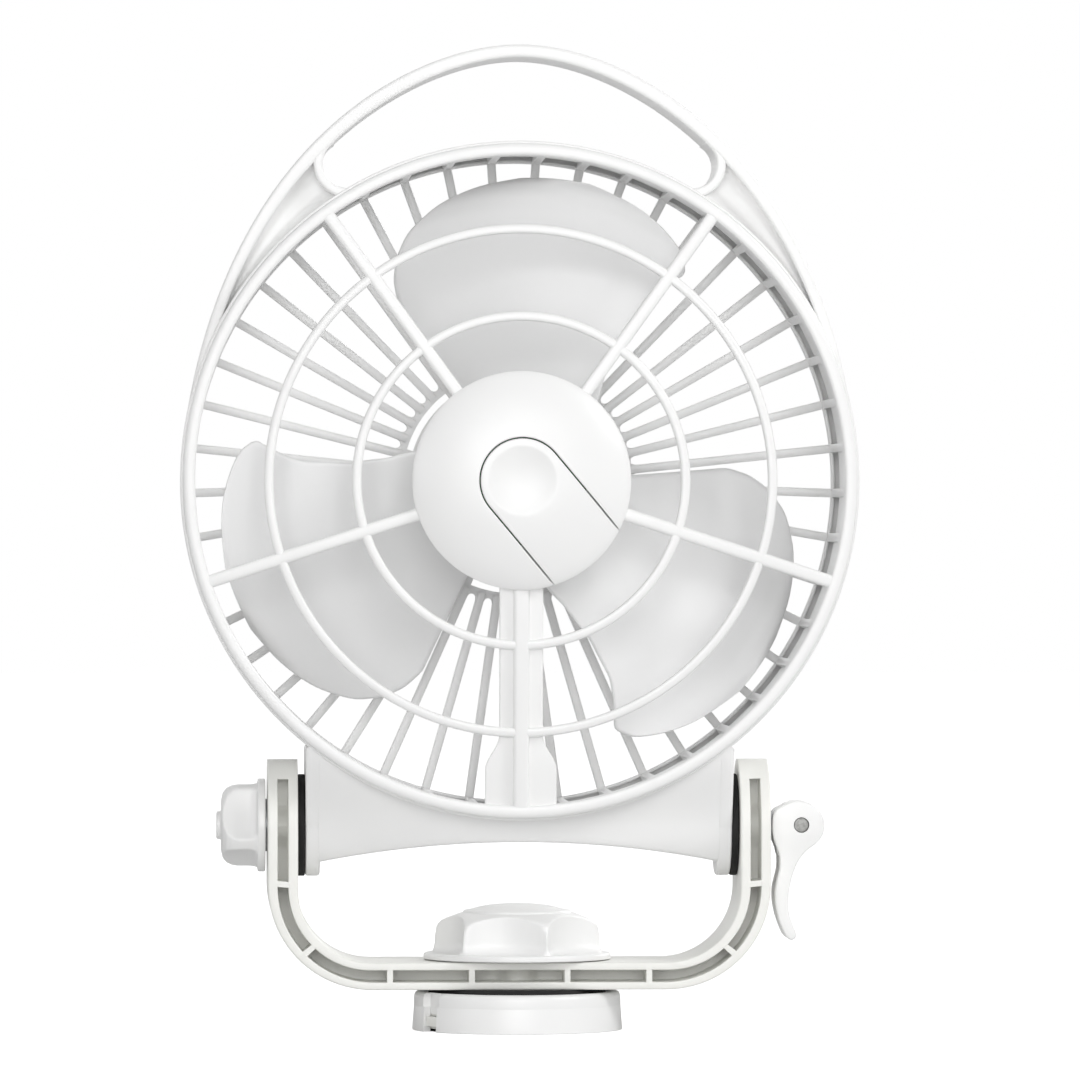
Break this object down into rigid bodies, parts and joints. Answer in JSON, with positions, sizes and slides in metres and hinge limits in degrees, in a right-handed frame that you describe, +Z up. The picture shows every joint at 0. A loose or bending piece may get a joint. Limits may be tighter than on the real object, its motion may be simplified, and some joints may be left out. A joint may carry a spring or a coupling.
{
  "type": "portable camping fan",
  "caption": "Round caged axial fan with carry handle, tilting in a U yoke that swivels on a round quick-release base, with cam lever, knobs and hub button.",
  "frame": {"origin": "centre of the base's underside, on the surface that the fan stands on", "axes": "+Z up, -Y the way the air blows, +X towards the cam lever"},
  "size_m": [0.179, 0.074, 0.2605],
  "materials": {
    "white_plastic": "satin",
    "warm_white_plastic": "satin",
    "light_grey_plastic": "satin",
    "black_plastic": "satin",
    "black_rubber": "matt",
    "steel": "zinc plated",
    "brass": "plain",
    "copper_winding": "enamelled wire on a steel core",
    "magnet": "sintered",
    "circuit_board": "solder mask"
  },
  "bodies": {
    "base": {"foot_pad": "black_rubber", "mounting_disc": "warm_white_plastic", "latch_spring": "steel", "base_shell": "white_plastic", "grip_pad": "black_rubber", "swivel_bolt": "steel"},
    "release_tab": {"release_tab": "warm_white_plastic"},
    "yoke": {"yoke": "warm_white_plastic", "cam_washer": "black_plastic"},
    "swivel_washer": {"swivel_washer": "steel"},
    "swivel_knob": {"swivel_knob": "white_plastic", "swivel_knob_nut": "brass"},
    "head": {"housing": "white_plastic", "saddle_covers": "white_plastic", "saddle_screws": "steel", "ear_nuts": "steel", "tilt_pads": "black_rubber", "rear_guard": "white_plastic", "front_guard": "white_plastic", "hub_cap": "white_plastic", "switch_board": "circuit_board", "tact_switch": "black_plastic", "switch_lead": "black_plastic", "motor_can": "steel", "motor_end_cap": "black_plastic", "motor_bushes": "brass", "motor_magnets": "magnet", "motor_brushes": "magnet", "motor_screws": "steel", "motor_cover": "white_plastic", "cover_screws": "steel", "power_inlet": "black_plastic"},
    "tilt_washer": {"tilt_washer": "steel"},
    "tilt_knob": {"tilt_knob": "white_plastic", "tilt_bolt": "steel"},
    "cam_rod": {"cam_rod": "steel", "cam_pin": "steel"},
    "cam_lever": {"cam_lever": "white_plastic"},
    "speed_button": {"speed_button": "white_plastic"},
    "rotor": {"motor_shaft": "steel", "armature": "copper_winding", "commutator": "brass", "propeller": "light_grey_plastic", "propeller_nut": "brass"}
  },
  "joints": [
    {"name": "swivel", "type": "hinge", "parent": "base", "child": "yoke", "pos_m": [0, 0, 0.0113], "axis": [0, 0, 1], "continuous": true},
    {"name": "tilt", "type": "hinge", "parent": "yoke", "child": "head", "pos_m": [0, 0, 0.0543], "axis": [1, 0, 0], "range_deg": [-55, 55]},
    {"name": "release_tab_press", "type": "slide", "parent": "base", "child": "release_tab", "axis": [0.8572, 0.515, 0], "range_m": [0, 0.0018], "stiffness_N_per_m": 800},
    {"name": "swivel_knob_lift", "type": "slide", "parent": "base", "child": "swivel_washer", "axis": [0, 0, 1], "range_m": [0, 0.001]},
    {"name": "swivel_knob_turn", "type": "hinge", "parent": "swivel_washer", "child": "swivel_knob", "pos_m": [0, 0, 0.02], "axis": [0, 0, 1], "range_deg": [0, 360]},
    {"name": "tilt_knob_lift", "type": "slide", "parent": "head", "child": "tilt_washer", "axis": [-1, 0, 0], "range_m": [0, 0.001]},
    {"name": "tilt_knob_turn", "type": "hinge", "parent": "tilt_washer", "child": "tilt_knob", "pos_m": [-0.067, 0, 0.0543], "axis": [-1, 0, 0], "range_deg": [0, 360]},
    {"name": "cam_lever_swing", "type": "hinge", "parent": "cam_rod", "child": "cam_lever", "pos_m": [0.0752, 0, 0.0543], "axis": [0, -1, 0], "range_deg": [0, 120]},
    {"name": "cam_rod_turn", "type": "hinge", "parent": "yoke", "child": "cam_rod", "pos_m": [0.067, 0, 0.0543], "axis": [1, 0, 0], "range_deg": [-180, 180]},
    {"name": "speed_button_press", "type": "hinge", "parent": "head", "child": "speed_button", "pos_m": [0.01736, -0.032, 0.1248], "axis": [-0.766, 0, -0.6428], "range_deg": [0, 2], "stiffness_Nm_per_rad": 1.5},
    {"name": "rotor_spin", "type": "hinge", "parent": "head", "child": "rotor", "pos_m": [0, 0, 0.1455], "axis": [0, 1, 0], "continuous": true}
  ],
  "couplings": [
    {"joint": "swivel_knob_turn", "follows": "swivel_knob_lift", "rad_per_m": 6283},
    {"joint": "tilt_knob_turn", "follows": "tilt_knob_lift", "rad_per_m": 6283}
  ]
}
